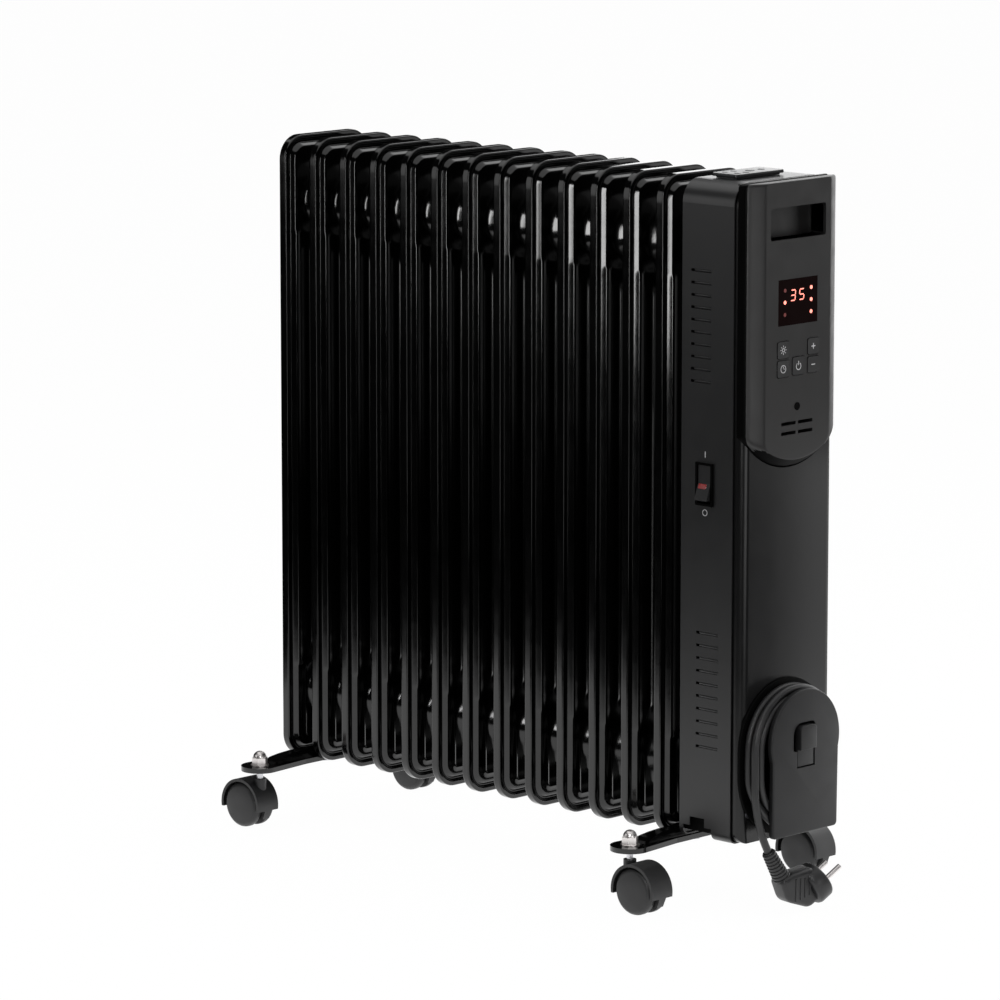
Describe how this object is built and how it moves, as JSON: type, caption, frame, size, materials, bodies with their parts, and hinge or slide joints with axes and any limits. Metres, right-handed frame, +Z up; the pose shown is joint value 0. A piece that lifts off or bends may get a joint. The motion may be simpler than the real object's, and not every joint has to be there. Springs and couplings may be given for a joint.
{
  "type": "oil filled radiator heater",
  "caption": "Oil filled radiator heater: a row of tall oil fins, a control box with display and cord reel at one end, and two foot bars on swivel casters.",
  "frame": {"origin": "on the floor under the middle of the heater's box, measured without the free cord and its plug", "axes": "+X runs along the row of fins to the control box, -Y is the side with the mains switch, +Z is up"},
  "size_m": [0.6331, 0.253, 0.645],
  "materials": {
    "radiator_paint": "gloss black enamel",
    "shell_paint": "satin charcoal powder coat",
    "housing_plastic": "smooth satin",
    "key_plastic": "smooth satin",
    "reel_plastic": "smooth satin",
    "cord_pvc": "smooth PVC",
    "window_plastic": "dark tinted, polished",
    "plated_steel": "zinc plated",
    "chrome": "polished",
    "element_steel": "plain steel tube",
    "board": "coated circuit board",
    "ceramic": "cream ceramic and resin",
    "inner_plastic": "moulded",
    "caster_plastic": "fine grained"
  },
  "bodies": {
    "heater": {"fin_1": "radiator_paint", "fin_2": "radiator_paint", "fin_3": "radiator_paint", "fin_4": "radiator_paint", "fin_5": "radiator_paint", "fin_6": "radiator_paint", "fin_7": "radiator_paint", "fin_8": "radiator_paint", "fin_9": "radiator_paint", "fin_10": "radiator_paint", "fin_11": "radiator_paint", "fin_12": "radiator_paint", "fin_13": "radiator_paint", "upper_header_collars": "radiator_paint", "lower_header_collars": "radiator_paint", "oil_fill_plug": "plated_steel", "heating_elements": "element_steel", "element_flange": "plated_steel", "thermal_cutout": "ceramic", "tip_over_switch": "inner_plastic", "terminal_block": "ceramic", "back_plate": "shell_paint", "side_shell": "shell_paint", "front_cover": "shell_paint", "control_housing": "housing_plastic", "display_window": "window_plastic", "control_board": "board", "signal_sensor": "window_plastic", "switch_bezel": "key_plastic", "reel_core": "reel_plastic", "reel_plate": "reel_plastic", "cord_gland": "reel_plastic", "cord_start": "cord_pvc", "cord_winding": "cord_pvc", "cord_tail": "cord_pvc", "plug_body": "cord_pvc", "plug_pins": "chrome", "rear_foot": "radiator_paint", "front_foot": "radiator_paint", "foot_u_bolts": "plated_steel", "foot_nuts": "plated_steel", "dome_nuts": "chrome", "caster_stems": "plated_steel", "cover_screws": "plated_steel"},
    "rocker": {"rocker": "key_plastic"},
    "power_button": {"power_key": "key_plastic"},
    "mode_button": {"mode_key": "key_plastic"},
    "timer_button": {"timer_key": "key_plastic"},
    "plus_button": {"plus_key": "key_plastic"},
    "minus_button": {"minus_key": "key_plastic"},
    "latch": {"reel_latch": "reel_plastic"},
    "remote": {"remote_control": "housing_plastic"},
    "caster_1": {"caster_hood_1": "caster_plastic"},
    "wheels_1": {"caster_wheels_1": "caster_plastic"},
    "caster_2": {"caster_hood_2": "caster_plastic"},
    "wheels_2": {"caster_wheels_2": "caster_plastic"},
    "caster_3": {"caster_hood_3": "caster_plastic"},
    "wheels_3": {"caster_wheels_3": "caster_plastic"},
    "caster_4": {"caster_hood_4": "caster_plastic"},
    "wheels_4": {"caster_wheels_4": "caster_plastic"}
  },
  "joints": [
    {"name": "caster_1_swivel", "type": "hinge", "parent": "heater", "child": "caster_1", "pos_m": [-0.27, -0.109, 0.03], "axis": [0, 0, 1], "continuous": true},
    {"name": "caster_2_swivel", "type": "hinge", "parent": "heater", "child": "caster_2", "pos_m": [-0.27, 0.109, 0.03], "axis": [0, 0, 1], "continuous": true},
    {"name": "caster_3_swivel", "type": "hinge", "parent": "heater", "child": "caster_3", "pos_m": [0.1974, -0.109, 0.03], "axis": [0, 0, 1], "continuous": true},
    {"name": "caster_4_swivel", "type": "hinge", "parent": "heater", "child": "caster_4", "pos_m": [0.1974, 0.109, 0.03], "axis": [0, 0, 1], "continuous": true},
    {"name": "wheels_1_roll", "type": "hinge", "parent": "caster_1", "child": "wheels_1", "pos_m": [-0.284, -0.109, 0.021], "axis": [0, 1, 0], "continuous": true},
    {"name": "wheels_2_roll", "type": "hinge", "parent": "caster_2", "child": "wheels_2", "pos_m": [-0.284, 0.109, 0.021], "axis": [0, 1, 0], "continuous": true},
    {"name": "wheels_3_roll", "type": "hinge", "parent": "caster_3", "child": "wheels_3", "pos_m": [0.2114, -0.109, 0.021], "axis": [0, 1, 0], "continuous": true},
    {"name": "wheels_4_roll", "type": "hinge", "parent": "caster_4", "child": "wheels_4", "pos_m": [0.2114, 0.109, 0.021], "axis": [0, 1, 0], "continuous": true},
    {"name": "mains_switch", "type": "hinge", "parent": "heater", "child": "rocker", "pos_m": [0.2397, -0.057, 0.377], "axis": [1, 0, 0], "range_deg": [0, 20]},
    {"name": "power_press", "type": "slide", "parent": "heater", "child": "power_button", "axis": [-1, 0, 0], "range_m": [0, 0.0008], "stiffness_N_per_m": 300, "springref_m": -0.001},
    {"name": "mode_press", "type": "slide", "parent": "heater", "child": "mode_button", "axis": [-1, 0, 0], "range_m": [0, 0.0008], "stiffness_N_per_m": 300, "springref_m": -0.001},
    {"name": "timer_press", "type": "slide", "parent": "heater", "child": "timer_button", "axis": [-1, 0, 0], "range_m": [0, 0.0008], "stiffness_N_per_m": 300, "springref_m": -0.001},
    {"name": "plus_press", "type": "slide", "parent": "heater", "child": "plus_button", "axis": [-1, 0, 0], "range_m": [0, 0.0008], "stiffness_N_per_m": 300, "springref_m": -0.001},
    {"name": "minus_press", "type": "slide", "parent": "heater", "child": "minus_button", "axis": [-1, 0, 0], "range_m": [0, 0.0008], "stiffness_N_per_m": 300, "springref_m": -0.001},
    {"name": "reel_latch_press", "type": "hinge", "parent": "heater", "child": "latch", "pos_m": [0.303, 0, 0.1295], "axis": [0, 1, 0], "range_deg": [-5, 0], "stiffness_Nm_per_rad": 0.12, "springref_deg": 5.73},
    {"name": "remote_lift", "type": "slide", "parent": "heater", "child": "remote", "axis": [0, 0, 1], "range_m": [0, 0.04]}
  ]
}
